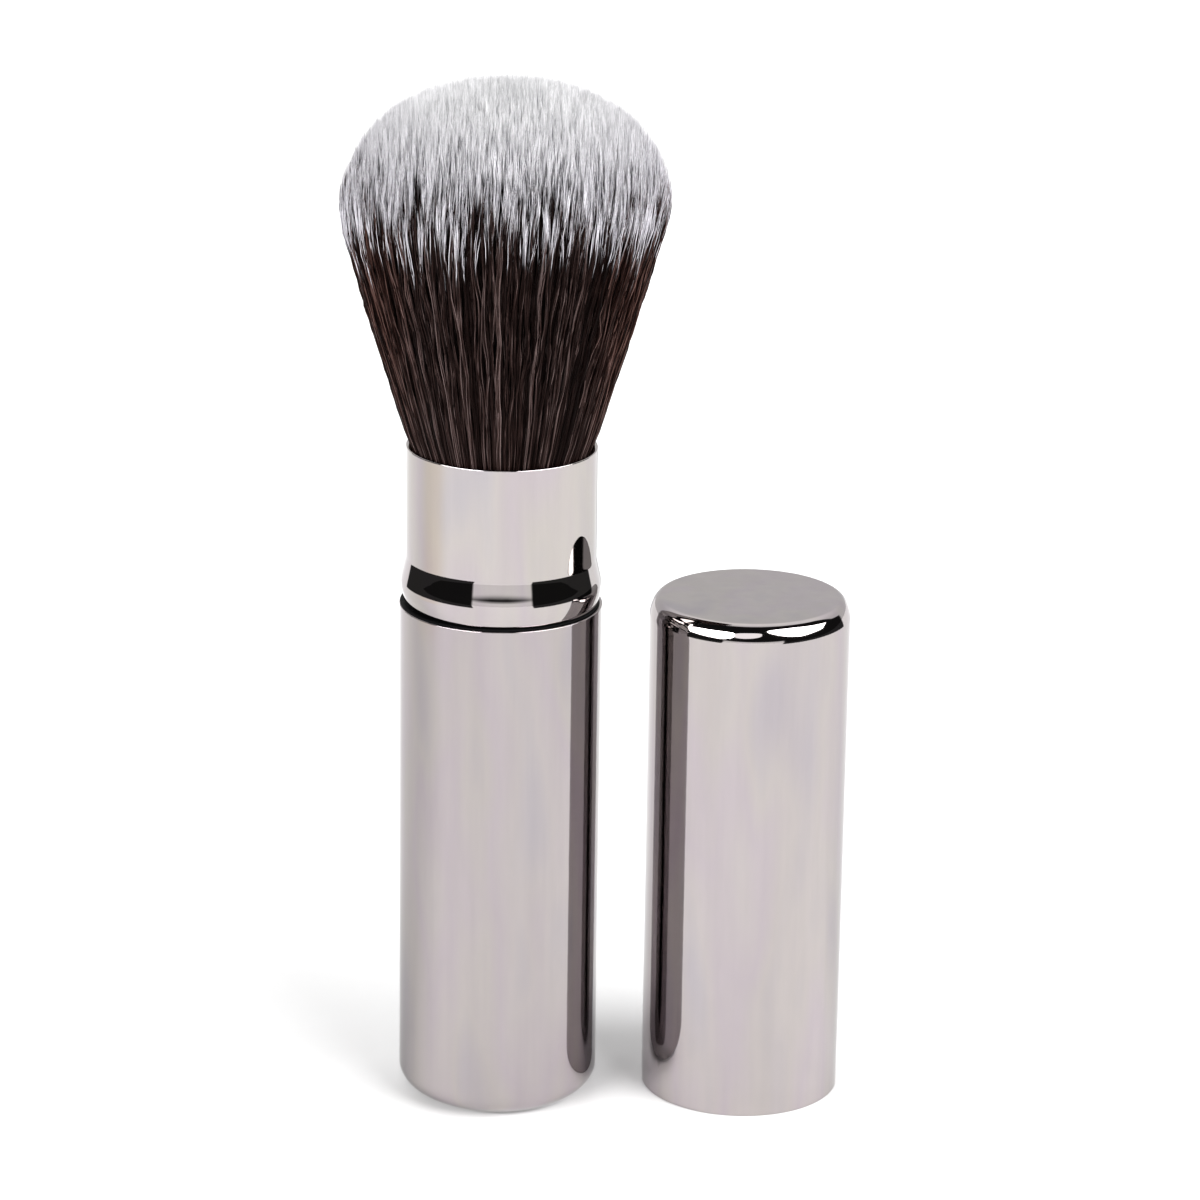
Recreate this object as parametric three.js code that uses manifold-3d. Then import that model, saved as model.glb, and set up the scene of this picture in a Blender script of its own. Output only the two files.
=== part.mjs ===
// Portable retractable makeup brush with its loose cap standing beside it.
// Millimetres, +Z up. The origin is the centre of the barrel's flat base, on the barrel's axis.
// A domed bundle of bristles is held in a ferrule on a post inside the barrel. A bright collar on a
// slider tube runs up and down in the barrel round the post, and draws up over the bristles.
import * as THREE from "three";
import { mergeVertices } from "three/addons/utils/BufferGeometryUtils.js";
import Module from "manifold-3d";

const wasm = await Module();
wasm.setup();

// ---- driving dimensions ----
const SEG = 48; // sides of every round piece, so nested walls keep an even gap
const SCREW_SEG = 24;

const BARREL_R = 12.5; // outside radius of barrel and cap
const BARREL_H = 64.6; // length of barrel, and of cap
const SHELL_WALL = 0.4; // drawn aluminium
const BASE_ROUND_R = 5.2; // round edge at the barrel's base: its width
const BASE_ROUND_H = 3.6; // and its height
const BARREL_BASE_T = 0.5;

const LINER_R = 12.02;
const LINER_BORE = 11.45;
const LINER_LIP_BORE = 11.15; // lip that the stop ring catches on
const LINER_Z0 = 7.3;
const LINER_LIP_Z = 60.2;
const LINER_FLANGE_R = 12.45; // flange that lies on the barrel's rim
const LINER_FLANGE_Z = 64.64;
const LINER_Z1 = 64.95;

const STROKE = 42; // travel of collar and slider

const SLIDER_R = 11.0;
const SLIDER_BORE = 10.3;
const SLIDER_Z0 = 15.0;
const SLIDER_Z1 = 81.8;
const STOP_R = 11.35;
const STOP_Z0 = 15.2;
const STOP_Z1 = LINER_LIP_Z - STROKE - 0.05;
const SLIDER_NECK_R = 10.72;
const FRICTION_R = 11.4;
const FRICTION_BORE = 11.03;
const FRICTION_Z0 = 16.1;
const FRICTION_Z1 = 17.1;

const COLLAR_RIM_R = 11.7;
const COLLAR_NECK_R = 11.6;
const COLLAR_BORE = 11.24;
const COLLAR_Z0 = 65.06;
const COLLAR_Z1 = 84.65; // rim round the bristles
const BEAD_R = 12.36; // widest part of the grip bead
const BEAD_ZMAX = 67.5;

const POST_R = 9.9;
const POST_SPIGOT_R = 9.5;
const POST_Z0 = 9.3;
const POST_SHOULDER_Z = 59.7;
const POST_Z1 = 66.0;

const FERRULE_R = 10.05;
const FERRULE_BORE = 9.65;
const FERRULE_Z0 = 60.0;
const FERRULE_Z1 = 80.0;

const CAP_X = 30.84; // where the cap stands
const CAP_Y = 3.43;
const CAP_FILLET = 2.3;
const CAP_TOP_T = 0.5;
const CAP_LINER_R = 12.04;
const CAP_LINER_BORE = 11.84;
const CAP_RIB_R = 11.68; // the ribs that grip the collar
const CAP_LINER_Z0 = 0.6;
const CAP_LINER_Z1 = 14.6;

// Outline of the bristles, [height, radius]: held in the ferrule, flared over the collar's rim,
// widest about two thirds up, then a dome.
const BRISTLE_OUTLINE = [
  [72.3, 8.8],
  [75.6, 8.8],
  [76.6, 9.58],
  [80.0, 9.58],
  [81.9, 10.15],
  [82.6, 10.75],
  [84.4, 11.1],
  [86.6, 11.9],
  [91.2, 13.2],
  [97.2, 15.05],
  [104.6, 17.2],
  [110.6, 18.95],
  [115.9, 19.8],
  [119.8, 18.5],
  [122.8, 17.0],
  [125.7, 14.3],
  [127.6, 10.9],
  [129.0, 6.6],
];
const BRISTLE_TIP_Z = 129.6;

// ---- helpers ----
const finish = (color, roughness, metalness) =>
  new THREE.MeshStandardMaterial({ color, roughness, metalness });

// A profile of [radius, height] turned round the Z axis. It runs up the outside and back down the inside.
function turned(profile, segments = SEG) {
  const points = profile.map(([r, z]) => new THREE.Vector2(r, z));
  const g = new THREE.LatheGeometry(points, segments);
  g.rotateX(Math.PI / 2);
  return g;
}

// A tube's closed profile: outer wall up, inner wall down.
const tube = (outer, bore, z0, z1) => [
  [bore, z0],
  [outer, z0],
  [outer, z1],
  [bore, z1],
  [bore, z0],
];

// Points of a quarter round from angle a to angle b, in degrees, about [r, z]. It is elliptical where high
// differs from wide.
function round(r, z, wide, high, a, b, steps) {
  const out = [];
  for (let i = 0; i <= steps; i++) {
    const t = THREE.MathUtils.degToRad(a + ((b - a) * i) / steps);
    out.push([r + wide * Math.cos(t), z + high * Math.sin(t)]);
  }
  return out;
}

function solid(geometry) {
  const bare = geometry.clone();
  for (const name of Object.keys(bare.attributes))
    if (name !== "position") bare.deleteAttribute(name);
  const merged = mergeVertices(bare, 1e-4);
  return new wasm.Manifold(
    new wasm.Mesh({
      numProp: 3,
      vertProperties: new Float32Array(merged.attributes.position.array),
      triVerts: new Uint32Array(merged.index.array),
    }),
  );
}

function geometryOf(manifold) {
  const m = manifold.getMesh();
  const g = new THREE.BufferGeometry();
  g.setAttribute("position", new THREE.BufferAttribute(m.vertProperties, 3));
  g.setIndex(new THREE.BufferAttribute(m.triVerts, 1));
  g.computeVertexNormals();
  return g;
}

function piece(name, geometry, material) {
  const mesh = new THREE.Mesh(geometry, material);
  mesh.name = name;
  return mesh;
}

const part = new THREE.Group();
const handle = new THREE.Group();
const sleeve = new THREE.Group();
const cap = new THREE.Group();
cap.position.set(CAP_X, CAP_Y, 0);
part.add(handle, sleeve, cap);

// ---- barrel ----
// Deep-drawn cup with a flat base and a round base edge.
{
  const inner = BARREL_R - SHELL_WALL;
  const c = BARREL_R - BASE_ROUND_R;
  handle.add(
    piece(
      "barrel_shell",
      turned([
        [0, 0],
        ...round(c, BASE_ROUND_H, BASE_ROUND_R, BASE_ROUND_H, -90, 0, 6),
        [BARREL_R, BARREL_H],
        [inner, BARREL_H],
        ...round(
          c,
          BASE_ROUND_H,
          BASE_ROUND_R - SHELL_WALL,
          BASE_ROUND_H - BARREL_BASE_T,
          0,
          -78,
          5,
        ),
        [c, BARREL_BASE_T],
        [0, BARREL_BASE_T],
      ]),
      finish(0xc8c2c3, 0.12, 1.0),
    ),
  );
}

// Glued-in guide tube. Its lip keeps the stop ring in, and its flange covers the barrel's cut rim.
handle.add(
  piece(
    "barrel_liner",
    turned([
      [LINER_BORE, LINER_Z0],
      [LINER_R, LINER_Z0],
      [LINER_R, LINER_FLANGE_Z],
      [LINER_FLANGE_R, LINER_FLANGE_Z],
      [LINER_FLANGE_R, LINER_Z1],
      [LINER_LIP_BORE, LINER_Z1],
      [LINER_LIP_BORE, LINER_LIP_Z],
      [LINER_BORE, LINER_LIP_Z],
      [LINER_BORE, LINER_Z0],
    ]),
    finish(0x17161a, 0.55, 0.0),
  ),
);

// Moulded plug in the barrel's base: it centres the guide tube and takes the post's screw.
handle.add(
  piece(
    "base_plug",
    turned([
      [3.3, 0.85],
      [8.6, 0.85],
      [11.2, 3.45],
      [11.95, 4.9],
      [11.95, 7.0],
      [11.35, 7.0],
      [11.35, 9.0],
      [1.7, 9.0],
      [1.7, 3.4],
      [3.3, 3.4],
      [3.3, 0.85],
    ]),
    finish(0x1d1c20, 0.6, 0.0),
  ),
);

// Hollow post with a foot flange, a screw boss and a spigot for the ferrule.
handle.add(
  piece(
    "core_post",
    turned([
      [0, 18.6],
      [1.5, 18.6],
      [1.5, POST_Z0],
      [10.9, POST_Z0],
      [10.9, 11.2],
      [POST_R, 11.9],
      [POST_R, POST_SHOULDER_Z],
      [POST_SPIGOT_R, POST_SHOULDER_Z],
      [POST_SPIGOT_R, POST_Z1],
      [8.5, POST_Z1],
      [8.5, 12.6],
      [3.4, 12.6],
      [3.4, 20.0],
      [0, 20.0],
    ]),
    finish(0x1b1a1e, 0.6, 0.0),
  ),
);

// Pan-head screw, driven from below, with a cross recess.
{
  const body = solid(
    turned(
      [
        [0, 1.2],
        [2.1, 1.2],
        [2.75, 1.75],
        [2.9, 3.1],
        [1.35, 3.1],
        [1.35, 16.2],
        [0, 17.4],
      ],
      SCREW_SEG,
    ),
  );
  const slotX = new THREE.BoxGeometry(2.6, 0.6, 1.8);
  slotX.translate(0, 0, 1.2);
  const slotY = new THREE.BoxGeometry(0.6, 2.6, 1.8);
  slotY.translate(0, 0, 1.2);
  handle.add(
    piece(
      "core_screw",
      geometryOf(body.subtract(solid(slotX)).subtract(solid(slotY))),
      finish(0x9c9a98, 0.35, 1.0),
    ),
  );
}

// ---- brush head ----
// Thin tube that grips the root of the bristles and sits on the post's spigot.
handle.add(
  piece(
    "ferrule",
    turned(tube(FERRULE_R, FERRULE_BORE, FERRULE_Z0, FERRULE_Z1)),
    finish(0xb9b5b4, 0.25, 1.0),
  ),
);

// Cast resin that holds the ends of the bristles.
handle.add(
  piece(
    "root_resin",
    turned([
      [0, 66.3],
      [9.5, 66.3],
      [9.5, 72.0],
      [0, 72.0],
    ]),
    finish(0x8a6f3c, 0.3, 0.0),
  ),
);

// Thread wound round the root before it is set in the ferrule.
handle.add(
  piece(
    "root_binding",
    turned([
      [8.9, 73.0],
      [9.2, 72.8],
      [9.55, 73.3],
      [9.55, 74.9],
      [9.2, 75.4],
      [8.9, 75.2],
      [8.9, 73.0],
    ]),
    finish(0xd8d2c4, 0.9, 0.0),
  ),
);

handle.add(
  piece(
    "bristle_bundle",
    turned([
      [0, BRISTLE_OUTLINE[0][0]],
      ...BRISTLE_OUTLINE.map(([z, r]) => [r, z]),
      [0, BRISTLE_TIP_Z],
    ]),
    finish(0x3a2a28, 0.7, 0.0),
  ),
);

// ---- sliding sleeve ----
// Bright collar with the rolled grip bead, pressed on the slider's top. It widens a little to its rim.
sleeve.add(
  piece(
    "collar",
    turned([
      [COLLAR_BORE, COLLAR_Z0],
      [11.72, COLLAR_Z0],
      [11.95, 65.45],
      [12.14, 66.0],
      [12.29, 66.7],
      [BEAD_R, BEAD_ZMAX],
      [12.3, 68.2],
      [12.16, 68.8],
      [11.96, 69.5],
      [11.79, 70.15],
      [11.67, 70.75],
      [COLLAR_NECK_R, 71.5],
      [COLLAR_RIM_R, COLLAR_Z1 - 0.12],
      [COLLAR_RIM_R - 0.12, COLLAR_Z1],
      [COLLAR_BORE + 0.1, COLLAR_Z1],
      [COLLAR_BORE, COLLAR_Z1 - 0.1],
      [COLLAR_BORE, 71.0],
      [11.48, 70.0],
      [11.88, BEAD_ZMAX],
      [11.7, 66.2],
      [COLLAR_BORE, 65.6],
      [COLLAR_BORE, COLLAR_Z0],
    ]),
    finish(0xd4d0d0, 0.06, 1.0),
  ),
);

// Plain guide tube inside the collar, running down round the post, with a groove for the stop ring.
sleeve.add(
  piece(
    "slider_tube",
    turned([
      [SLIDER_BORE, SLIDER_Z0],
      [SLIDER_NECK_R, SLIDER_Z0],
      [SLIDER_NECK_R, STOP_Z1 + 0.1],
      [SLIDER_R, STOP_Z1 + 0.1],
      [SLIDER_R, SLIDER_Z1],
      [SLIDER_BORE, SLIDER_Z1],
      [SLIDER_BORE, SLIDER_Z0],
    ]),
    finish(0x202024, 0.45, 0.0),
  ),
);

// Snap ring at the slider's foot, grooved for the friction ring.
sleeve.add(
  piece(
    "stop_ring",
    turned([
      [SLIDER_NECK_R + 0.05, STOP_Z0],
      [STOP_R - 0.15, STOP_Z0],
      [STOP_R, STOP_Z0 + 0.15],
      [STOP_R, FRICTION_Z0 - 0.1],
      [FRICTION_BORE - 0.06, FRICTION_Z0 - 0.1],
      [FRICTION_BORE - 0.06, FRICTION_Z1 + 0.1],
      [STOP_R, FRICTION_Z1 + 0.1],
      [STOP_R, STOP_Z1],
      [SLIDER_NECK_R + 0.05, STOP_Z1],
      [SLIDER_NECK_R + 0.05, STOP_Z0],
    ]),
    finish(0xe6e4df, 0.5, 0.0),
  ),
);

// Elastomer ring that rubs on the guide tube and holds the sleeve where it is put.
sleeve.add(
  piece(
    "friction_ring",
    turned([
      [FRICTION_BORE, FRICTION_Z0],
      [FRICTION_R - 0.12, FRICTION_Z0],
      [FRICTION_R, FRICTION_Z0 + 0.3],
      [FRICTION_R, FRICTION_Z1 - 0.3],
      [FRICTION_R - 0.12, FRICTION_Z1],
      [FRICTION_BORE, FRICTION_Z1],
      [FRICTION_BORE, FRICTION_Z0],
    ]),
    finish(0x0f0f10, 0.85, 0.0),
  ),
);

// ---- cap ----
// Deep-drawn cup, standing on its mouth, with a flat end and a small round edge.
{
  const inner = BARREL_R - SHELL_WALL;
  const c = BARREL_R - CAP_FILLET;
  cap.add(
    piece(
      "cap_shell",
      turned([
        [inner, 0],
        [BARREL_R, 0],
        ...round(c, BARREL_H - CAP_FILLET, CAP_FILLET, CAP_FILLET, 0, 90, 6),
        [0, BARREL_H],
        [0, BARREL_H - CAP_TOP_T],
        [c, BARREL_H - CAP_TOP_T],
        ...round(
          c,
          BARREL_H - CAP_FILLET,
          CAP_FILLET - SHELL_WALL,
          CAP_FILLET - SHELL_WALL,
          70,
          0,
          3,
        ),
        [inner, 0],
      ]),
      finish(0xc8c2c3, 0.12, 1.0),
    ),
  );
}

// Inner ring at the cap's mouth, with six fine ribs that grip the collar.
{
  const outline = new THREE.Shape();
  const hole = new THREE.Path();
  for (let i = 0; i < SEG; i++) {
    const a = (i / SEG) * 2 * Math.PI;
    const x = CAP_LINER_R * Math.cos(a);
    const y = CAP_LINER_R * Math.sin(a);
    if (i) outline.lineTo(x, y);
    else outline.moveTo(x, y);
  }
  outline.closePath();
  for (let i = 0; i < SEG; i++) {
    const a = (i / SEG) * 2 * Math.PI;
    const r = i % 8 === 4 ? CAP_RIB_R : CAP_LINER_BORE;
    const x = r * Math.cos(a);
    const y = r * Math.sin(a);
    if (i) hole.lineTo(x, y);
    else hole.moveTo(x, y);
  }
  hole.closePath();
  outline.holes.push(hole);
  const g = new THREE.ExtrudeGeometry(outline, {
    depth: CAP_LINER_Z1 - CAP_LINER_Z0,
    bevelEnabled: false,
    curveSegments: 1,
  });
  g.translate(0, 0, CAP_LINER_Z0);
  cap.add(piece("cap_liner", g, finish(0x1a191d, 0.5, 0.0)));
}

export default part;
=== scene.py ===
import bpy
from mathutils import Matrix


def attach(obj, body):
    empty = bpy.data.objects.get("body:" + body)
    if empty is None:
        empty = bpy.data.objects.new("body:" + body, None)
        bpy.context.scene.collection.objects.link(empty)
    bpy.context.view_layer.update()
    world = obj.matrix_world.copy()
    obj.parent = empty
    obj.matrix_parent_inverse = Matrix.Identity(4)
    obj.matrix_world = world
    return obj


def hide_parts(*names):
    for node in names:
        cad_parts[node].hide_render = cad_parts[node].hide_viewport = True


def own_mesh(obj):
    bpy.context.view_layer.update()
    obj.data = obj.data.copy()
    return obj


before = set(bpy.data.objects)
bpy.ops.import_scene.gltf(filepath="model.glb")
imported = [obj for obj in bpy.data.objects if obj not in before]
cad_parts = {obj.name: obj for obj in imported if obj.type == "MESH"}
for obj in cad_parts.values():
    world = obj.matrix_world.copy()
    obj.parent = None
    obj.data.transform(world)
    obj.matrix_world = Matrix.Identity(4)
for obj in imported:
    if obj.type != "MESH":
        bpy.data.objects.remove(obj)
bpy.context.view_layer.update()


import math

import bpy
import numpy as np
from mathutils import Matrix, Vector

MM = 0.001

# ---------------------------------------------------------------- sizes, millimetres
BARREL_R, BARREL_H, WALL = 12.5, 64.6, 0.4
CAP_X, CAP_Y = 30.84, 3.43

# Outside of the bristles below their widest point, [height, radius].
FLARE = np.array([
    [79.0, 9.45], [80.0, 9.45], [81.0, 9.7], [82.0, 10.15], [83.0, 10.62], [84.3, 10.98], [85.1, 11.35],
    [86.6, 11.8], [88.2, 12.2], [89.7, 12.68], [91.2, 13.1], [92.7, 13.65], [94.2, 14.05], [95.7, 14.5],
    [97.2, 14.98], [98.7, 15.45], [100.2, 15.9], [101.7, 16.3], [103.2, 16.78], [104.6, 17.15],
    [106.1, 17.58], [107.6, 18.02], [109.1, 18.45], [110.6, 18.85], [112.0, 19.18], [113.5, 19.42],
    [115.0, 19.62], [116.0, 19.72], [118.0, 19.8], [122.0, 19.85], [131.0, 19.9],
])
# Height of the dome over each radius.
DOME = np.array([
    [0.0, 129.75], [3.0, 129.62], [5.1, 129.45], [7.0, 129.1], [8.7, 128.6], [10.9, 127.65], [13.0, 126.55],
    [14.3, 125.6], [15.35, 124.65], [16.3, 123.6], [17.0, 122.65], [17.6, 121.7], [18.1, 120.7],
    [18.5, 119.7], [18.9, 118.8], [19.3, 117.8], [19.6, 116.9], [19.8, 115.9], [20.2, 115.0],
])


# ---------------------------------------------------------------- helpers
def mesh_object(name, verts, faces, smooth=True, sharp=None):
    me = bpy.data.meshes.new(name)
    me.from_pydata(verts, [], faces)
    me.validate()
    me.update()
    if smooth:
        me.polygons.foreach_set("use_smooth", [True] * len(me.polygons))
        if sharp:
            me.set_sharp_from_angle(angle=math.radians(sharp))
    ob = bpy.data.objects.new(name, me)
    bpy.context.scene.collection.objects.link(ob)
    return ob


def arc(r, z, radius, a, b, steps):
    """Points of a round of that radius about (r, z), from angle a to b in degrees."""
    out = []
    for i in range(steps + 1):
        t = math.radians(a + (b - a) * i / steps)
        out.append((r + radius * math.cos(t), z + radius * math.sin(t)))
    return out


def lathe(name, profile, segs=256, centre=(0.0, 0.0), closed=False, sharp=35.0, wobble=None):
    """A profile of (radius, height) in mm turned round the vertical axis through centre. It runs up the outside
    and down the inside. wobble(angle, r, z) may move a point's radius."""
    cx, cy = centre
    verts, rings = [], []
    for r, z in profile:
        if r < 1e-9:
            rings.append([len(verts)])
            verts.append((cx * MM, cy * MM, z * MM))
            continue
        ring = []
        for i in range(segs):
            a = 2 * math.pi * i / segs
            q = r if wobble is None else wobble(a, r, z)
            ring.append(len(verts))
            verts.append(((cx + q * math.cos(a)) * MM, (cy + q * math.sin(a)) * MM, z * MM))
        rings.append(ring)
    faces = []
    pairs = list(zip(rings, rings[1:]))
    if closed:
        pairs.append((rings[-1], rings[0]))
    for lo, hi in pairs:
        if len(lo) == 1 and len(hi) == 1:
            continue
        for i in range(segs):
            j = (i + 1) % segs
            if len(lo) == 1:
                faces.append((lo[0], hi[j], hi[i]))
            elif len(hi) == 1:
                faces.append((lo[i], lo[j], hi[0]))
            else:
                faces.append((lo[i], lo[j], hi[j], hi[i]))
    return mesh_object(name, verts, faces, sharp=sharp)


class Tree:
    """Short forms for building nodes in a tree."""

    def __init__(self, tree):
        self.t = tree

    def link(self, a, b):
        self.t.links.new(a, b)

    def noise(self, vector, scale, detail=3.0, rough=0.5, distortion=0.0):
        n = self.t.nodes.new("ShaderNodeTexNoise")
        n.inputs["Scale"].default_value = scale
        n.inputs["Detail"].default_value = detail
        n.inputs["Roughness"].default_value = rough
        n.inputs["Distortion"].default_value = distortion
        self.link(vector, n.inputs["Vector"])
        return n.outputs["Fac"]

    def ramp(self, fac, stops):
        r = self.t.nodes.new("ShaderNodeValToRGB")
        e = r.color_ramp.elements
        while len(e) < len(stops):
            e.new(0.5)
        for el, (p, c) in zip(e, stops):
            el.position = p
            el.color = (*c, 1) if len(c) == 3 else c
        self.link(fac, r.inputs["Fac"])
        return r.outputs["Color"]

    def range(self, value, a, b, c, d, smooth=False):
        m = self.t.nodes.new("ShaderNodeMapRange")
        if smooth:
            m.interpolation_type = "SMOOTHSTEP"
        for k, v in zip(("From Min", "From Max", "To Min", "To Max"), (a, b, c, d)):
            m.inputs[k].default_value = v
        self.link(value, m.inputs["Value"])
        return m.outputs[0]

    def math(self, op, a, b=0.0):
        m = self.t.nodes.new("ShaderNodeMath")
        m.operation = op
        for s, v in zip(m.inputs, (a, b)):
            if isinstance(v, (int, float)):
                s.default_value = v
            else:
                self.link(v, s)
        return m.outputs[0]

    def most(self, *values):
        out = values[0]
        for v in values[1:]:
            out = self.math("MAXIMUM", out, v)
        return out

    def window(self, value, lo, hi, edge):
        """1 between lo and hi, 0 outside, with that soft edge."""
        up = self.range(value, lo - edge, lo + edge, 0.0, 1.0, True)
        down = self.range(value, hi - edge, hi + edge, 1.0, 0.0, True)
        return self.math("MULTIPLY", up, down)

    def mix(self, fac, a, b, mode="MIX"):
        m = self.t.nodes.new("ShaderNodeMix")
        m.data_type = "RGBA"
        m.blend_type = mode
        for key, v in ((0, fac), (6, a), (7, b)):
            s = m.inputs[key]
            if isinstance(v, (int, float)):
                s.default_value = v
            elif isinstance(v, tuple):
                s.default_value = (*v, 1) if len(v) == 3 else v
            else:
                self.link(v, s)
        return m.outputs[2]

    def bump(self, height, strength, distance, normal=None):
        b = self.t.nodes.new("ShaderNodeBump")
        b.inputs["Strength"].default_value = strength
        b.inputs["Distance"].default_value = distance
        self.link(height, b.inputs["Height"])
        if normal is not None:
            self.link(normal, b.inputs["Normal"])
        return b.outputs[0]

    def attribute(self, name):
        a = self.t.nodes.new("ShaderNodeAttribute")
        a.attribute_name = name
        return a.outputs["Fac"]

    def bearing(self, vector):
        """Azimuth in degrees, 0 towards -Y and 90 towards +X, and the vector's three parts."""
        sep = self.t.nodes.new("ShaderNodeSeparateXYZ")
        self.link(vector, sep.inputs[0])
        x, y, z = sep.outputs
        a = self.math("MULTIPLY", self.math("ARCTAN2", x, self.math("MULTIPLY", y, -1.0)), 180 / math.pi)
        return a, x, y, z


class Nodes(Tree):
    """A material with a Principled shader."""

    def __init__(self, name):
        self.mat = bpy.data.materials.new(name)
        self.mat.use_nodes = True
        super().__init__(self.mat.node_tree)
        self.t.nodes.clear()
        self.out = self.t.nodes.new("ShaderNodeOutputMaterial")
        self.bsdf = self.t.nodes.new("ShaderNodeBsdfPrincipled")
        self.link(self.bsdf.outputs[0], self.out.inputs["Surface"])
        self.coord = self.t.nodes.new("ShaderNodeTexCoord")

    def mapping(self, scale=(1, 1, 1), loc=(0, 0, 0)):
        m = self.t.nodes.new("ShaderNodeMapping")
        m.inputs["Scale"].default_value = scale
        m.inputs["Location"].default_value = loc
        self.link(self.coord.outputs["Object"], m.inputs["Vector"])
        return m.outputs[0]


def metal(name, base, rough_lo, rough_hi, peel=0.5, cast=1.0, edge=1.0):
    """Polished, lacquered drawn aluminium: faint drawing streaks up the wall with a pinkish and a yellowish cast, a
    slight orange peel and rub marks."""
    n = Nodes(name)
    b = n.bsdf
    b.inputs["Metallic"].default_value = 1.0
    b.inputs["Specular Tint"].default_value = (edge, edge, edge, 1)

    def tone(k, r, g, bl):
        return tuple(c * (1 + cast * (m - 1)) * k for c, m in zip(base, (r, g, bl)))

    streaks = n.noise(n.mapping((1, 1, 0.05)), 420, 3.0, 0.55)
    broad = n.noise(n.mapping((1, 1, 0.22)), 105, 2.0, 0.5)
    light = n.ramp(broad, [
        (0.30, tone(0.93, 1.00, 0.99, 1.02)),
        (0.42, tone(1.03, 1.01, 1.005, 0.955)),
        (0.52, tone(1.0, 1.02, 0.985, 1.01)),
        (0.62, tone(1.05, 1.01, 1.0, 0.97)),
        (0.72, tone(0.97, 1.0, 1.0, 1.03)),
    ])
    n.link(n.mix(n.range(streaks, 0.36, 0.64, 0.0, 1.0), light, n.mix(1.0, light, (0.955, 0.95, 0.955), "MULTIPLY")), b.inputs["Base Color"])
    rub = n.noise(n.mapping((1, 1, 1)), 160, 6.0, 0.62, 0.4)
    fine = n.noise(n.mapping((1, 1, 8.0)), 1500, 2.0, 0.6)
    rough = n.math("ADD", n.range(rub, 0.35, 0.7, rough_lo, rough_hi), n.range(fine, 0.3, 0.75, -0.004, 0.008))
    n.link(rough, b.inputs["Roughness"])
    orange = n.noise(n.mapping((1, 1, 0.8)), 330, 2.0, 0.45)
    hair = n.noise(n.mapping((1, 1, 0.03)), 2600, 2.0, 0.5)
    first = n.bump(orange, peel, 0.000012)
    n.link(n.bump(hair, 0.10, 0.000003, first), b.inputs["Normal"])
    return n.mat


def plastic(name, base, light, rough, scale=900, bump=0.25, distance=0.00002, rings=False, shine=0.5):
    """Moulded plastic: fine grain and faint flow marks."""
    n = Nodes(name)
    b = n.bsdf
    b.inputs["Specular IOR Level"].default_value = shine
    grain = n.noise(n.mapping((1, 1, 1)), scale, 4.0, 0.6)
    flow = n.noise(n.mapping((1, 1, 0.15)), 140, 3.0, 0.5)
    n.link(n.ramp(flow, [(0.3, base), (0.72, light)]), b.inputs["Base Color"])
    n.link(n.range(grain, 0.3, 0.7, rough - 0.08, rough + 0.1), b.inputs["Roughness"])
    first = n.bump(grain, bump, distance)
    if rings:
        lines = n.noise(n.mapping((0.02, 0.02, 1)), 3000, 2.0, 0.5)
        n.link(n.bump(lines, 0.2, 0.00001, first), b.inputs["Normal"])
    else:
        n.link(first, b.inputs["Normal"])
    return n.mat


# ---------------------------------------------------------------- camera
scene = bpy.context.scene
cam_data = bpy.data.cameras.new("camera")
cam = bpy.data.objects.new("camera", cam_data)
scene.collection.objects.link(cam)
ELEV, ROLL = math.radians(17.803), math.radians(0.841)
fwd = Vector((0.0, math.cos(ELEV), -math.sin(ELEV)))
up0 = Vector((0.0, math.sin(ELEV), math.cos(ELEV)))
right0 = Vector((1.0, 0.0, 0.0))
right = math.cos(ROLL) * right0 + math.sin(ROLL) * up0
up = -math.sin(ROLL) * right0 + math.cos(ROLL) * up0
rot = Matrix((right, up, -fwd)).transposed().to_4x4()
cam.matrix_world = Matrix.Translation(Vector((12.201, -527.067, 234.175)) * MM) @ rot
cam_data.sensor_width = 36.0
cam_data.sensor_fit = "HORIZONTAL"
cam_data.lens = 4496.8 / 1200 * 36.0
cam_data.clip_start = 0.02
cam_data.clip_end = 50
scene.camera = cam

scene.view_settings.view_transform = "Standard"
scene.view_settings.look = "None"
scene.view_settings.exposure = 0.0

# ---------------------------------------------------------------- light and floor
SKY_DARK, SKY_PALE = 0.016, 0.95
world = bpy.data.worlds.new("studio")
scene.world = world
world.use_nodes = True
w = Tree(world.node_tree)
w.t.nodes.clear()
world_out = w.t.nodes.new("ShaderNodeOutputWorld")
background = w.t.nodes.new("ShaderNodeBackground")
w.link(background.outputs[0], world_out.inputs["Surface"])
ray = w.t.nodes.new("ShaderNodeTexCoord").outputs["Generated"]
azimuth, _, sky_y, sky_z = w.bearing(ray)
elevation = w.math("MULTIPLY", w.math("ARCSINE", sky_z), 180 / math.pi)


def round_box(az, el, wide, high, level, power=2.0, slope=0.0, edge=0.06):
    """A round-cornered soft box in the sky, by the azimuth and elevation of its middle and its half sizes, in
    degrees. slope is its rise towards +azimuth."""
    across = w.math("SUBTRACT", azimuth, az)
    above = w.math("SUBTRACT", w.math("SUBTRACT", elevation, el), w.math("MULTIPLY", across, slope))
    dx = w.math("POWER", w.math("MULTIPLY", w.math("ABSOLUTE", across), 1.0 / wide), power)
    dy = w.math("POWER", w.math("MULTIPLY", w.math("ABSOLUTE", above), 1.0 / high), power)
    return w.range(w.math("ADD", dx, dy), 1 - edge, 1 + edge, level, 0.0, True)


def square_box(az0, az1, el0, el1, level, edge=1.5):
    both = w.math("MULTIPLY", w.window(azimuth, az0, az1, edge), w.window(elevation, el0, el1, edge))
    return w.math("MULTIPLY", both, level)


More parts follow.
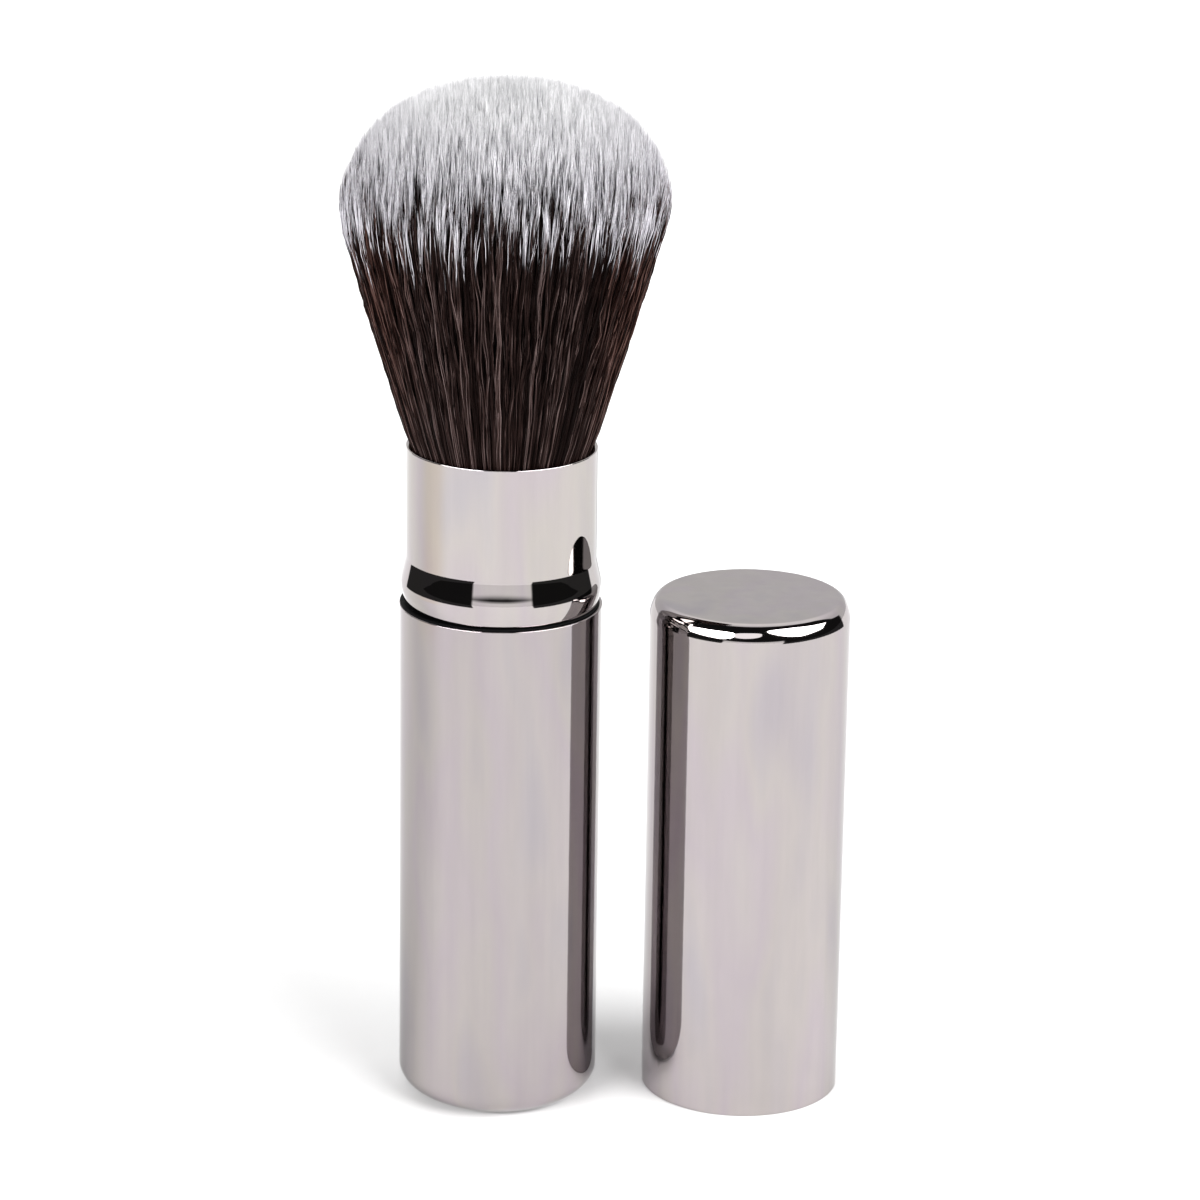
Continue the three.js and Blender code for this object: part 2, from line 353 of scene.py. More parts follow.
back = w.math("MAXIMUM", w.range(azimuth, -133.0, -129.0, 1.0, 0.0, True), w.range(azimuth, 125.0, 129.0, 0.0, 1.0, True))
back = w.math("MULTIPLY", back, w.range(elevation, 71.0, 76.0, 1.0, 0.0, True))
# The pale ceiling reaches forwards over the object: how far, against the height of the direction.
reach_over = w.ramp(w.range(sky_z, 0.0, 1.0, 0.0, 1.0), [
    (0.0, (0.0, 0.0, 0.0)), (0.2, (0.2, 0.2, 0.2)), (0.342, (0.31, 0.31, 0.31)), (0.707, (0.379, 0.379, 0.379)),
    (0.875, (0.5, 0.5, 0.5)), (0.948, (0.58, 0.58, 0.58)), (0.974, (0.6125, 0.6125, 0.6125)), (1.0, (0.66, 0.66, 0.66))])
forwards = w.math("MULTIPLY", sky_y, -1.0)
over = w.math("SUBTRACT", w.math("SUBTRACT", w.math("MULTIPLY", reach_over, 2.0), 1.0), forwards)
over = w.math("MULTIPLY", w.range(over, -0.035, 0.035, 0.0, 1.0, True), w.range(elevation, 9.0, 14.0, 0.0, 1.0, True))
back = w.math("MULTIPLY", w.math("MAXIMUM", back, over), w.range(elevation, 18.0, 55.0, 1.2, 1.85, True))
back = w.math("MULTIPLY", back, w.range(forwards, -0.15, 0.15, 1.0, 0.72, True))
# The right-hand box is cut off by slanting lines, below and above.
low = w.math("MAXIMUM", w.math("ADD", w.math("MULTIPLY", azimuth, 0.85), -66.0), 11.0)
cut = w.range(w.math("SUBTRACT", elevation, low), -1.0, 1.0, 0.0, 1.0, True)
lid = w.range(w.math("ADD", elevation, w.math("MULTIPLY", azimuth, 0.6)), 79.0, 81.5, 1.0, 0.0, True)
sky = w.most(
    back,
    w.math("MULTIPLY", round_box(-48, 18.2, 28, 10.2, 25.0, 3.0, slope=0.17), cut),
    w.math("MULTIPLY", round_box(62, 27, 41, 16.5, 15.2, 2.2, slope=-0.22), w.math("MULTIPLY", cut, lid)),
    round_box(-4, 24, 17, 7.6, 2.6, 2.5, slope=0.1),
    square_box(-31, 37, -20, 7.2, 1.6, 1.6),
)
sky = w.math("MAXIMUM", sky, SKY_DARK)
seen = w.t.nodes.new("ShaderNodeLightPath").outputs["Is Camera Ray"]
w.link(w.mix(seen, sky, (SKY_PALE, SKY_PALE, SKY_PALE)), background.inputs["Color"])

# The floor is white paper. In reflections it ends beside the object, where the dark of the room begins. Its brightness
# is painted: seen in reflections and bounces it is lighter than seen straight on, and it carries painted shade and a
# painted warm cast in places.
n = Nodes("floor_sweep")
n.bsdf.inputs["Roughness"].default_value = 0.9
n.bsdf.inputs["Specular IOR Level"].default_value = 0.0
grain = n.noise(n.mapping(), 90, 4.0, 0.6)
geo = n.t.nodes.new("ShaderNodeNewGeometry")
off = n.t.nodes.new("ShaderNodeVectorMath")
off.operation = "SUBTRACT"
n.link(geo.outputs["Position"], off.inputs[0])
off.inputs[1].default_value = (0.012, 0.0, 0.0)
length = n.t.nodes.new("ShaderNodeVectorMath")
length.operation = "LENGTH"
n.link(off.outputs[0], length.inputs[0])
bearing = n.bearing(off.outputs[0])[0]
reach = n.range(n.math("ABSOLUTE", bearing), 85.0, 125.0, 0.37, 0.33, True)
near = n.range(n.math("SUBTRACT", length.outputs["Value"], reach), -0.008, 0.008, 1.0, 0.0, True)
ahead = n.window(bearing, -31, 37, 1.0)
behind = n.math("MAXIMUM", n.range(bearing, -132.0, -130.0, 1.0, 0.0, True), n.range(bearing, 126.0, 128.0, 0.0, 1.0, True))
lit = n.most(near, ahead, behind)
paper = n.ramp(grain, [(0.3, (0.785, 0.785, 0.785)), (0.7, (0.805, 0.805, 0.805))])
# Painted shade: in reflections the paper to the left of the object is made darker, down to 0.8.
painted_shade_left = n.range(n.window(bearing, -118, -78, 22.0), 0.0, 1.0, 1.0, 0.8)
paper = n.mix(1.0, paper, n.ramp(painted_shade_left, [(0.0, (0, 0, 0)), (1.0, (1, 1, 1))]), "MULTIPLY")
# Painted shade: in reflections the paper far behind the object is made darker, to 0.57.
far = n.math("MULTIPLY", n.range(length.outputs["Value"], 0.205, 0.235, 0.0, 1.0, True), n.range(n.math("ABSOLUTE", bearing), 160.0, 166.0, 0.0, 1.0, True))
paper = n.mix(far, paper, n.mix(1.0, paper, (0.57, 0.57, 0.57), "MULTIPLY"))
# Painted reflection: in reflections the paper far off to the left gets a warm cast, which the metal shows as a
# yellowish tint.
painted_warm_cast = n.math("MULTIPLY", n.window(bearing, -102, -74, 9.0), n.range(length.outputs["Value"], 0.2, 0.23, 0.0, 1.0, True))
paper = n.mix(painted_warm_cast, paper, n.mix(1.0, paper, (1.03, 0.985, 0.90), "MULTIPLY"))
# Painted shade: the floor seen straight on gets a darker paper (about 0.58) than the same floor in reflections and
# bounces (about 0.8). This is a shaded and a lit copy of one paper, so shadows show on it while the metal still
# reflects a bright floor.
direct_shaded = n.ramp(grain, [(0.3, (0.575, 0.575, 0.575)), (0.7, (0.585, 0.585, 0.585))])
camera_ray = n.t.nodes.new("ShaderNodeLightPath").outputs["Is Camera Ray"]
n.link(n.mix(camera_ray, n.mix(lit, (0.02, 0.02, 0.02), paper), direct_shaded), n.bsdf.inputs["Base Color"])
floor = mesh_object(
    "floor",
    [(-9, -9, 0), (9, -9, 0), (9, 9, 0), (-9, 9, 0)],
    [(0, 1, 2, 3)],
    smooth=False,
)
floor.location.z = -0.00002
floor.data.materials.append(n.mat)

# ---------------------------------------------------------------- materials
barrel_metal = metal("barrel_lacquered_metal", (0.285, 0.264, 0.269), 0.03, 0.06, edge=0.75)
cap_metal = metal("cap_lacquered_metal", (0.318, 0.295, 0.301), 0.03, 0.06, edge=0.75)
collar_metal = metal("collar_bright_metal", (0.328, 0.308, 0.309), 0.015, 0.035, 0.3, cast=1.2, edge=0.75)
ferrule_metal = metal("ferrule_metal_satin", (0.36, 0.34, 0.33), 0.2, 0.34, 0.6, cast=0.4)
black_plastic = plastic("inner_plastic_black", (0.009, 0.009, 0.0105), (0.016, 0.0155, 0.018), 0.42)
guide_plastic = plastic("guide_tube_plastic_black", (0.0012, 0.0012, 0.0013), (0.0026, 0.0026, 0.0028), 0.6, shine=0.03)
slider_plastic = plastic("slider_plastic_black", (0.003, 0.003, 0.0036), (0.007, 0.0068, 0.0078), 0.30, bump=0.12, rings=True, shine=0.25)
ring_plastic = plastic("stop_ring_plastic", (0.62, 0.61, 0.57), (0.72, 0.71, 0.67), 0.42)
rubber = plastic("friction_ring_rubber", (0.006, 0.006, 0.0065), (0.012, 0.012, 0.012), 0.78, 1500, 0.5)
resin = plastic("root_resin_amber", (0.16, 0.09, 0.025), (0.3, 0.19, 0.06), 0.2, 300, 0.3)
steel = metal("screw_steel", (0.37, 0.36, 0.35), 0.25, 0.4, 0.8, cast=0.3)

n = Nodes("binding_thread_wound")
wave = n.t.nodes.new("ShaderNodeTexWave")
wave.bands_direction = "Z"
wave.inputs["Scale"].default_value = 900
wave.inputs["Distortion"].default_value = 1.5
n.link(n.mapping(), wave.inputs["Vector"])
n.link(n.ramp(wave.outputs["Fac"], [(0.1, (0.3, 0.27, 0.22)), (0.8, (0.7, 0.66, 0.57))]), n.bsdf.inputs["Base Color"])
n.link(n.range(wave.outputs["Fac"], 0, 1, 0.95, 0.7), n.bsdf.inputs["Roughness"])
n.link(n.bump(wave.outputs["Fac"], 0.8, 0.0001), n.bsdf.inputs["Normal"])
thread = n.mat


def bristle_material():
    """Two-tone filament. dye is the height in mm over the point where the strand's white tip begins, and tone is the
    strand's shade from 0 to 1: its own random tone, with painted light added, lighter at the left and right of the
    bundle and changing along the strand as if it turned to and from the light."""
    n = Nodes("two_tone_bristle")
    b = n.bsdf
    dye, tone = n.attribute("dye"), n.attribute("tone")
    grain = n.noise(n.mapping((1, 1, 0.25)), 1400, 2.0, 0.6)
    moved = n.math("ADD", dye, n.range(grain, 0.25, 0.75, -0.7, 0.7))
    fac = n.range(moved, -1.2, 1.2, 0.0, 1.0)
    brown = n.ramp(tone, [(0.0, (0.0014, 0.0004, 0.0003)), (0.38, (0.0054, 0.0023, 0.0019)), (0.68, (0.0215, 0.0120, 0.0107)), (1.0, (0.090, 0.063, 0.060))])
    white = n.ramp(tone, [(0.0, (0.235, 0.235, 0.243)), (0.5, (0.392, 0.392, 0.397)), (1.0, (0.55, 0.55, 0.555))])
    # Painted shade: strands inside the bundle get a much darker brown, standing in for the shade between the outer
    # strands. The white of those in the middle of the dome is made a little greyer, which is painted shade too.
    place = n.attribute("place")
    painted_depth_shade = n.ramp(place, [(0.86, (0.14, 0.14, 0.14)), (0.97, (1.0, 1.0, 1.0))])
    brown = n.mix(1.0, brown, painted_depth_shade, "MULTIPLY")
    # Painted light: the brown at the left and right of the bundle is made lighter and redder, standing in for light
    # shining through the strands at those edges.
    parts = n.t.nodes.new("ShaderNodeSeparateXYZ")
    n.link(n.coord.outputs["Object"], parts.inputs[0])
    painted_edge_light = n.range(n.math("ABSOLUTE", parts.outputs[0]), 0.0085, 0.015, 0.0, 1.0, True)
    brown = n.mix(painted_edge_light, brown, n.mix(1.0, brown, (1.2, 0.93, 0.82), "MULTIPLY"))
    # Painted light and shade: the white is made brighter or darker ring by ring across the dome, greyest in its middle,
    # to give the dome's light from top to edge.
    level = n.ramp(place, [(0.0, (0.80, 0.80, 0.80)), (0.5, (0.935, 0.93, 0.935)), (0.8, (0.885, 0.87, 0.895)), (1.0, (0.87, 0.845, 0.895))])
    white = n.mix(1.0, n.mix(1.0, white, (1.36, 1.36, 1.36), "MULTIPLY"), level, "MULTIPLY")
    mask = n.ramp(fac, [(0.0, (0, 0, 0)), (0.35, (0.16, 0.16, 0.16)), (0.7, (0.8, 0.8, 0.8)), (1.0, (1, 1, 1))])
    n.link(n.mix(mask, brown, white), b.inputs["Base Color"])
    n.link(n.range(tone, 0, 1, 0.55, 0.42), b.inputs["Roughness"])
    b.inputs["Specular IOR Level"].default_value = 0.038
    n.link(n.bump(grain, 0.15, 0.00001), b.inputs["Normal"])
    return n.mat


bristle_mat = bristle_material()


def put(ob, body, material, slot, *nodes):
    ob.data.materials.clear()
    ob.data.materials.append(material)
    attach(ob, body)
    if nodes:
        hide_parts(*nodes)
    return ob


# ---------------------------------------------------------------- barrel
def up_wall(r, z0, z1):
    """Rings of a straight wall, close together near its ends so that the shading stays true."""
    return [(r, z0 + 0.15), (r, z0 + 0.6), *[(r, z0 + (z1 - z0) * k / 8) for k in range(1, 8)], (r, z1 - 0.6), (r, z1 - 0.15)]


R = BARREL_R
BASE_W, BASE_H = 5.2, 3.6
inner = R - WALL
foot = [(R - BASE_W + BASE_W * math.sin(math.radians(t)), BASE_H - BASE_H * math.cos(math.radians(t))) for t in range(0, 91, 3)]
profile = [(0, 0.0), (3, 0.0), (5.5, 0.0), (R - BASE_W - 0.3, 0.0)]
profile += foot
profile += up_wall(R, BASE_H, BARREL_H - 0.1)
profile += arc(R - 0.1, BARREL_H - 0.1, 0.1, 0, 90, 5)
profile += arc(inner + 0.08, BARREL_H - 0.08, 0.08, 90, 180, 4)
profile += [(r, z) for r, z in reversed(up_wall(inner, BASE_H, BARREL_H - 0.08))]
profile += [(R - BASE_W + (BASE_W - WALL) * math.cos(math.radians(t)), BASE_H - (BASE_H - 0.5) * math.sin(math.radians(t))) for t in range(0, 85, 7)]
profile += [(R - BASE_W, 0.5), (0, 0.5)]
put(lathe("barrel_body", profile, 320), "handle", barrel_metal, "barrel_metal", "barrel_shell")

profile = [(11.45, 7.3), (12.02, 7.3), (12.02, 7.8), (12.02, 35), (12.02, 64.3), (12.02, 64.62), (12.2, 64.62), (12.25, 64.66),
           (12.25, 64.75), (12.22, 64.79), (12.17, 64.81), (11.9, 64.81), (11.3, 64.81), (11.19, 64.77), (11.15, 64.68), (11.15, 60.3), (11.22, 60.2), (11.45, 60.2), (11.45, 59.9), (11.45, 35), (11.45, 7.8)]
ob = lathe("barrel_guide_tube", profile, 320, closed=True, wobble=lambda a, r, z: r - 0.17 * math.cos(a) if r > 12.1 and z > 64.5 else r)
put(ob, "handle", guide_plastic, "inner_plastic", "barrel_liner")

# ---------------------------------------------------------------- collar, slider
# The grip bead is drawn by the lean of its wall, in degrees inwards, against height.
LEAN = np.array([
    [64.98, -18], [65.5, -15], [66.0, -11], [66.5, -6.5], [66.9, -2.5], [67.2, 0], [67.42, 2.6], [67.62, 6.8],
    [67.85, 10.2], [68.15, 12.3], [68.5, 13.3], [68.8, 12.7], [69.2, 12.0], [69.6, 11.6], [70.1, 10.8], [70.35, 9.0],
    [70.5, 5.9], [70.7, 1.5], [70.95, 0.3], [71.5, 0.0],
])
COLLAR_TOP = 84.65


def bead(z0=64.98, z1=71.5, steps=150, widest=12.34):
    z = np.linspace(z0, z1, steps)
    slope = -np.tan(np.radians(np.interp(z, LEAN[:, 0], LEAN[:, 1])))
    r = np.concatenate([[0.0], np.cumsum(0.5 * (slope[1:] + slope[:-1]) * np.diff(z))])
    return list(zip((r - r.max() + widest).tolist(), z.tolist()))


outside = bead()
neck_r = outside[-1][0]
rim_r = 11.7
wall = [(neck_r + (rim_r - neck_r) * t, outside[-1][1] + (COLLAR_TOP - 0.14 - outside[-1][1]) * t) for t in (0.02, 0.06, 0.15, 0.3, 0.45, 0.6, 0.75, 0.88, 0.96, 1.0)]
foot_r = outside[0][0]
profile = [(11.26, 64.96), (11.3, 64.92), (foot_r - 0.10, 64.92), (foot_r - 0.05, 64.925), (foot_r - 0.02, 64.945)]
profile += outside + wall
profile += arc(rim_r - 0.14, COLLAR_TOP - 0.14, 0.14, 0, 90, 6)
profile += arc(11.24 + 0.1, COLLAR_TOP - 0.1, 0.1, 90, 180, 5)
profile += [(11.24, 84.0), (11.24, 78), (11.24, 71.2), (11.3, 70.6), (11.5, 69.9), (11.72, 68.9), (11.88, 67.5), (11.82, 66.6), (11.6, 65.9), (11.3, 65.5), (11.25, 65.3)]
ob = lathe("collar_with_bead", profile, 384, closed=True, sharp=60)
# Its foot is raised a little on the left so that more of the black flange shows under it there, a stand-in for the dark
# reflection in the bead.
for v in ob.data.vertices:  # the sleeve leans a little in its guide, and its foot rises a little on the left
    lift = min(max((-v.co.x / MM - 4.0) / 8.0, 0.0), 1.0) * min(max((67.2 - v.co.z / MM) / 1.6, 0.0), 1.0)
    v.co.z += 0.36 * MM * lift - 0.0065 * v.co.x
put(ob, "sleeve", collar_metal, "collar_metal", "collar")

profile = [(10.3, 15.1), (10.4, 15.0), (10.65, 15.0), (10.72, 15.1), (10.72, 18.25), (11.0, 18.25), (11.0, 18.6), (11.0, 30), (11.0, 45), (11.0, 60),
           (11.0, 75), (11.0, 81.4), (10.9, 81.75), (10.4, 81.8), (10.3, 81.7), (10.3, 75), (10.3, 60), (10.3, 45), (10.3, 30)]
put(lathe("slider_tube_visual", profile, 192, closed=True), "sleeve", slider_plastic, "inner_plastic", "slider_tube")

# ---------------------------------------------------------------- cap
FW, FH, CAP_H = 1.45, 2.85, 64.65
profile = arc(inner + 0.1, 0.1, 0.1, 180, 270, 5)
profile += arc(R - 0.12, 0.12, 0.12, -90, 0, 6)
profile += up_wall(R, 0.12, CAP_H - FH)
# Its round begins with a slight shoulder, drawn by the lean of the wall in degrees against height.
ease = np.linspace(0.02, 1.8, 56)
turn = np.tan(np.radians(np.interp(ease, [0, 0.3, 0.55, 0.86, 1.03, 1.4, 1.8], [0, 0.8, 3.9, 12.5, 14.6, 18.3, 22.4])))
drop = np.concatenate([[0.0], np.cumsum(0.5 * (turn[1:] + turn[:-1]) * np.diff(ease))])
profile += [(R - a, CAP_H - FH + b) for a, b in zip(drop.tolist(), ease.tolist())]
joined = math.asin(1.8 / FH)
extra = float(drop[-1]) - FW * (1 - math.cos(joined))
profile += [(R - extra - FW + FW * math.cos(t), CAP_H - FH + FH * math.sin(t)) for t in np.linspace(joined, math.pi / 2, 34)[1:]]
profile += [(R - FW - 0.25, CAP_H), (8, CAP_H), (4, CAP_H), (0, CAP_H), (0, CAP_H - 0.5), (6, CAP_H - 0.5), (R - FW - 0.2, CAP_H - 0.5)]
profile += [(R - FW + (FW - WALL) * math.cos(math.radians(t)), CAP_H - FH + (FH - 0.5) * math.sin(math.radians(t))) for t in range(80, -1, -10)]
profile += [(inner, 61.2), (inner, 50), (inner, 35), (inner, 20), (inner, 8), (inner, 1)]
put(lathe("cap_body", profile, 320, centre=(CAP_X, CAP_Y), closed=True), "cap", cap_metal, "cap_metal", "cap_shell")


def ribs(a, r, z):
    """Six fine ridges inside the ring."""
    if r > 11.95:
        return r
    d = (a / (2 * math.pi) * 6 - 0.5) % 1.0
    d = min(d, 1 - d)
    return r - 0.16 * max(0.0, 1 - (d / 0.03) ** 2) * (1 if 1.2 < z < 14.0 else 0.3)


profile = [(11.92, 0.6), (12.04, 0.7), (12.04, 7), (12.04, 14.5), (11.98, 14.6), (11.9, 14.6), (11.84, 14.5), (11.84, 13.9), (11.84, 7), (11.84, 1.3), (11.86, 0.7)]
put(lathe("cap_grip_ring", profile, 288, centre=(CAP_X, CAP_Y), closed=True, wobble=ribs), "cap", black_plastic, "inner_plastic", "cap_liner")

# ---------------------------------------------------------------- inner pieces that keep their CAD shape
for node, material in (
    ("base_plug", black_plastic),
    ("core_post", black_plastic),
    ("core_screw", steel),
    ("ferrule", ferrule_metal),
    ("root_resin", resin),
    ("root_binding", thread),
    ("stop_ring", ring_plastic),
    ("friction_ring", rubber),
):
    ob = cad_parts[node]
    ob.data.materials.clear()
    ob.data.materials.append(material)

# ---------------------------------------------------------------- bristles
rng = np.random.RandomState(20251)
SECTORS = 40
# The last group is the dome's fill: strands of which only the upper end is built, as the rest is out of sight.
N_OUTER, N_INNER, N_FILL = 8500, 17000, 13000
TOTAL = N_OUTER + N_INNER + N_FILL


def flare(z):
    return np.interp(z, FLARE[:, 0], FLARE[:, 1])


def dome(r):
    return np.interp(r, DOME[:, 0], DOME[:, 1])


rho = np.concatenate([
    np.sqrt(rng.uniform(0.86**2, 1.0, N_OUTER)),
    np.sqrt(rng.uniform(0.0, 0.87**2, N_INNER)),
    np.sqrt(rng.uniform(0.0, 0.78**2, N_FILL)),
])
theta = rng.uniform(0, 2 * np.pi, TOTAL)
uv = np.stack([rho * np.cos(theta), rho * np.sin(theta)], 1)

# Strands gather into small locks.
LOCKS = 3600
lr = np.sqrt(rng.uniform(0, 1, LOCKS))
la = rng.uniform(0, 2 * np.pi, LOCKS)
lock_uv = np.stack([lr * np.cos(la), lr * np.sin(la)], 1)
lock = np.empty(TOTAL, int)
for s in range(0, TOTAL, 1000):
    d = ((uv[s:s + 1000, None, :] - lock_uv[None]) ** 2).sum(2)
    lock[s:s + 1000] = d.argmin(1)
counts = np.maximum(np.bincount(lock, minlength=LOCKS), 1)
mean_uv = np.stack([np.bincount(lock, uv[:, k], LOCKS) / counts for k in (0, 1)], 1)

lock_wave = rng.uniform(0, 2 * np.pi, (LOCKS, 4))
lock_len = rng.uniform(8.0, 15.0, (LOCKS, 2))
lock_amp = rng.uniform(0.05, 0.26, (LOCKS, 2))
lock_dye = rng.normal(0, 1, LOCKS)
lock_tone = rng.normal(0, 1, LOCKS)
own_wave = rng.uniform(0, 2 * np.pi, (TOTAL, 4))
own_len = rng.uniform(4.5, 10.0, (TOTAL, 2))
own_amp = rng.uniform(0.02, 0.12, (TOTAL, 2))
own_amp[rng.uniform(0, 1, TOTAL) < 0.03] *= 3.0
own_dye = rng.normal(0, 1, TOTAL)
own_tone = rng.normal(0, 1, TOTAL)
gather = rng.uniform(0.25, 0.6, TOTAL)
tip_z = dome(rho * 19.95) + np.clip(rng.normal(0.2, 0.25, TOTAL) - np.abs(rng.normal(0, 0.18, LOCKS))[lock], -1.3, 0.7)
# Towards the edge of the dome fewer strands end in white, and some of the white ends reach far down.
whiteness = 0.72 * lock_dye[lock] + 0.69 * own_dye
limit = np.interp(rho, [0.0, 0.62, 0.72, 0.80, 0.88, 0.93, 0.97, 1.0], [-3.0, -2.4, -1.7, -1.08, -0.43, 0.02, 0.26, 0.36])
limit -= 0.8 * np.cos(theta) ** 2
white_len = np.where(whiteness > limit, 1.3 + 1.9 * (whiteness - limit) + rng.exponential(0.8, TOTAL), -1.5)
white_len = np.clip(white_len + np.where(white_len > 0, 1.1 * np.cos(theta) ** 2, 0.0), -1.5, 8.5)
white_len += np.where((white_len > 0) & (rho > 0.85), np.maximum(rng.normal(-4.2, 3.2, TOTAL), 0.0), 0.0)
dye_z = tip_z - white_len
# Painted light: strands at the left and right of the bundle get a higher tone, so they show lighter there.
tone = np.clip(0.44 + 0.16 * lock_tone[lock] + 0.24 * own_tone + 0.09 * np.cos(theta) ** 4, 0.0, 1.0)
thick = rng.uniform(0.050, 0.067, TOTAL)
root_z = np.where(np.arange(TOTAL) < N_OUTER + N_INNER, 80.2, tip_z - 11.0)
tip_z[N_OUTER + N_INNER:] -= 0.25


two_pi = 2 * np.pi


def paths(idx, levels):
    """Centre lines of those strands. levels are shares of the way from root to tip."""
    m = len(levels)
    z0 = root_z[idx][:, None]
    z = z0 + (tip_z[idx][:, None] - z0) * levels[None]
    up_share = np.clip((z - 84.0) / 13.0, 0, 1)
    pull = (gather[idx][:, None] * np.clip((z - 84.0) / 14.0, 0, 1) * (1 - 0.55 * np.clip((z - 108.0) / 14.0, 0, 1)))
    u = uv[idx][:, None, :] * (1 - pull[..., None]) + mean_uv[lock[idx]][:, None, :] * pull[..., None]
    xy = u * flare(z)[..., None]
    radial = uv[idx] / np.maximum(rho[idx], 1e-6)[:, None]
    tangent = np.stack([-radial[:, 1], radial[:, 0]], 1)
    L = lock[idx]
    wt = (lock_amp[L, 0][:, None] * np.sin(two_pi * z / lock_len[L, 0][:, None] + lock_wave[L, 0][:, None])
          + own_amp[idx, 0][:, None] * np.sin(two_pi * z / own_len[idx, 0][:, None] + own_wave[idx, 0][:, None]))
    wr = (0.6 * lock_amp[L, 1][:, None] * np.sin(two_pi * z / lock_len[L, 1][:, None] + lock_wave[L, 1][:, None])
          + own_amp[idx, 1][:, None] * np.sin(two_pi * z / own_len[idx, 1][:, None] + own_wave[idx, 1][:, None])) - 0.12
    xy = xy + (wt * up_share)[..., None] * tangent[:, None, :] + (wr * up_share)[..., None] * radial[:, None, :]
    xy = xy * (1 + 0.02 * np.clip((z - 84.5) / 4, 0, 1) + 0.012 * np.clip((z - 108) / 10, 0, 1))[..., None]
    bent = np.clip((z - 108) / 14, 0, 1)
    xy[..., 0] += 0.42 * bent * bent * (3 - 2 * bent)
    return np.concatenate([xy, z[..., None]], 2)


def strands(idx, levels, sides=3):
    """Vertices, faces and point values of closed tapering strands."""
    p = paths(idx, levels)
    n_s, m, _ = p.shape
    t = np.gradient(p, axis=1)
    t /= np.linalg.norm(t, axis=2, keepdims=True)
    ref = np.zeros((n_s, 1, 3))
    ang = own_wave[idx, 2]
    ref[:, 0, 0], ref[:, 0, 1] = np.cos(ang), np.sin(ang)
    b = np.cross(t, np.broadcast_to(ref, t.shape))
    b /= np.linalg.norm(b, axis=2, keepdims=True)
    c = np.cross(b, t)
    taper = np.interp(levels, [0.0, 0.75, 0.93, 1.0], [1.0, 1.0, 0.62, 0.2])
    w = thick[idx][:, None] * taper[None]
    ring = []
    for k in range(sides):
        a = 2 * np.pi * k / sides
        ring.append(p + w[..., None] * (math.cos(a) * b + math.sin(a) * c))
    v = np.stack(ring, 2)[:, :-1]
    tip = p[:, -1:]
    body = v.reshape(n_s, (m - 1) * sides, 3)
    verts = np.concatenate([body, tip], 1)
    per = (m - 1) * sides + 1
    quads, tris = [], []
    for j in range(m - 2):
        for k in range(sides):
            k2 = (k + 1) % sides
            quads.append((j * sides + k, j * sides + k2, (j + 1) * sides + k2, (j + 1) * sides + k))
    last = (m - 2) * sides
    for k in range(sides):
        tris.append((last + k, last + (k + 1) % sides, per - 1))
    tris.append(tuple(reversed(range(sides))))
    off = (np.arange(n_s) * per)[:, None, None]
    quads = (np.array(quads)[None] + off).reshape(-1, 4)
    tris = (np.array(tris)[None] + off).reshape(-1, 3)
    z = np.concatenate([np.repeat(p[:, :-1, 2], sides, 1), p[:, -1:, 2]], 1)
    dye = z - dye_z[idx][:, None]
    # Painted shade: a strand's tone changes a little on its way up, as if it turned to and from the light.
    tones_and_painted_shade = np.clip(tone[idx][:, None] + 0.2 * np.sin(two_pi * z / own_len[idx, 1][:, None] + own_wave[idx, 3][:, None]), 0.0, 1.0)
    spots = np.broadcast_to(rho[idx][:, None], dye.shape)
    across = np.concatenate([np.tile(0.15 + 0.7 * np.arange(sides) / (sides - 1), m - 1), [0.5]])
    along = np.concatenate([np.repeat(levels[:-1], sides), [1.0]])
    uvs = np.stack([np.arange(n_s)[:, None] + across[None], np.broadcast_to(along, (n_s, per))], 2)
    return verts.reshape(-1, 3), quads, tris, dye.reshape(-1), tones_and_painted_shade.reshape(-1), spots.reshape(-1), uvs.reshape(-1, 2)


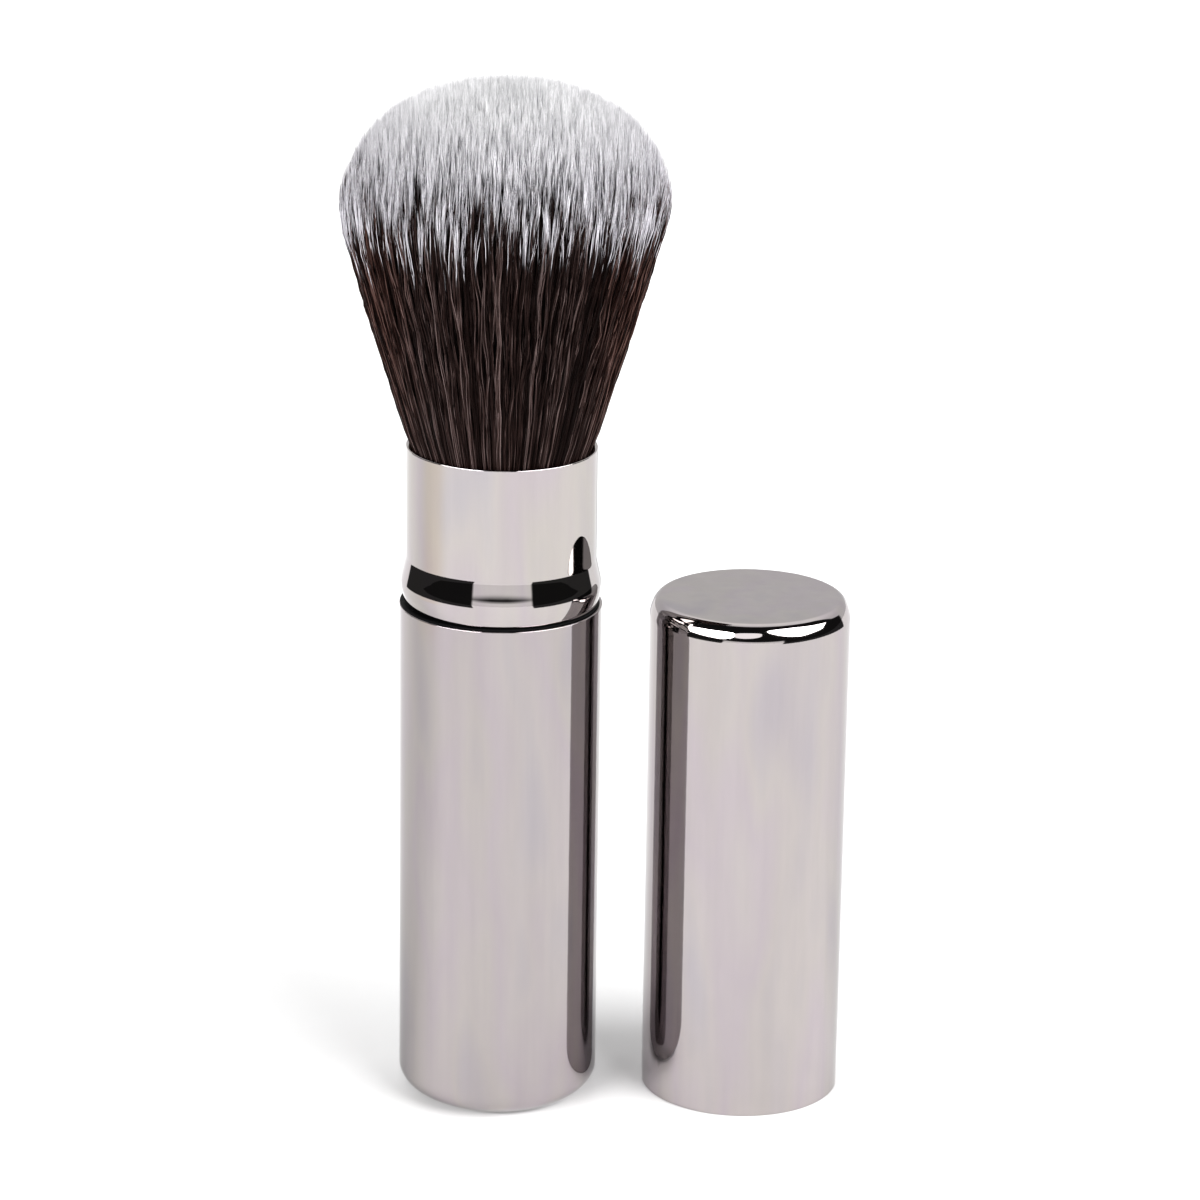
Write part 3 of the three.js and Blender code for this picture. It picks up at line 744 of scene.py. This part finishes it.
def add_mesh(name, parts):
    verts, quads, tris, dye, tones_and_painted_shade, spots, places, base, column = [], [], [], [], [], [], [], 0, 0
    for v, q, t, d, s, spot, place in parts:
        verts.append(v)
        quads.append(q + base)
        tris.append(t + base)
        dye.append(d)
        tones_and_painted_shade.append(s)
        spots.append(spot)
        places.append(place + [column, 0])
        base += len(v)
        column = math.ceil(places[-1][:, 0].max())
    verts = np.concatenate(verts) * MM
    quads, tris = np.concatenate(quads), np.concatenate(tris)
    me = bpy.data.meshes.new(name)
    me.vertices.add(len(verts))
    me.vertices.foreach_set("co", verts.astype(np.float32).ravel())
    loops = np.concatenate([quads.ravel(), tris.ravel()]).astype(np.int32)
    me.loops.add(len(loops))
    me.loops.foreach_set("vertex_index", loops)
    starts = np.concatenate([np.arange(len(quads)) * 4, len(quads) * 4 + np.arange(len(tris)) * 3]).astype(np.int32)
    me.polygons.add(len(starts))
    me.polygons.foreach_set("loop_start", starts)
    me.polygons.foreach_set("use_smooth", np.ones(len(starts), bool))
    me.update(calc_edges=True)
    for key, values in (("dye", dye), ("tone", tones_and_painted_shade), ("place", spots)):
        a = me.attributes.new(key, "FLOAT", "POINT")
        a.data.foreach_set("value", np.concatenate(values).astype(np.float32))
    place = np.concatenate(places) / [column, 1.02] + [0, 0.01]
    me.uv_layers.new(name="OFBake").data.foreach_set("uv", place[loops].astype(np.float32).ravel())
    me.validate()
    ob = bpy.data.objects.new(name, me)
    scene.collection.objects.link(ob)
    return ob


OUTER_LEVELS = np.array([0.0, 0.06, 0.12, 0.19, 0.26, 0.33, 0.40, 0.47, 0.54, 0.61, 0.68, 0.75, 0.82, 0.88, 0.94, 1.0])
INNER_LEVELS = np.array([0.0, 0.3, 0.5, 0.62, 0.72, 0.81, 0.88, 0.94, 1.0])
FILL_LEVELS = np.array([0.0, 0.4, 0.75, 1.0])
sector = np.floor(theta / (2 * np.pi) * SECTORS).astype(int) % SECTORS
group = np.digitize(np.arange(TOTAL), [N_OUTER, N_OUTER + N_INNER])
for s in range(SECTORS):
    ids = np.flatnonzero(sector == s)
    ids = ids[np.argsort(white_len[ids], kind="stable")]
    ob = add_mesh(
        f"bristles_{s + 1:02d}",
        [strands(ids[group[ids] == k], levels) for k, levels in enumerate((OUTER_LEVELS, INNER_LEVELS, FILL_LEVELS))],
    )
    put(ob, "handle", bristle_mat, "bristles", "bristle_bundle")
    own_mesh(ob)
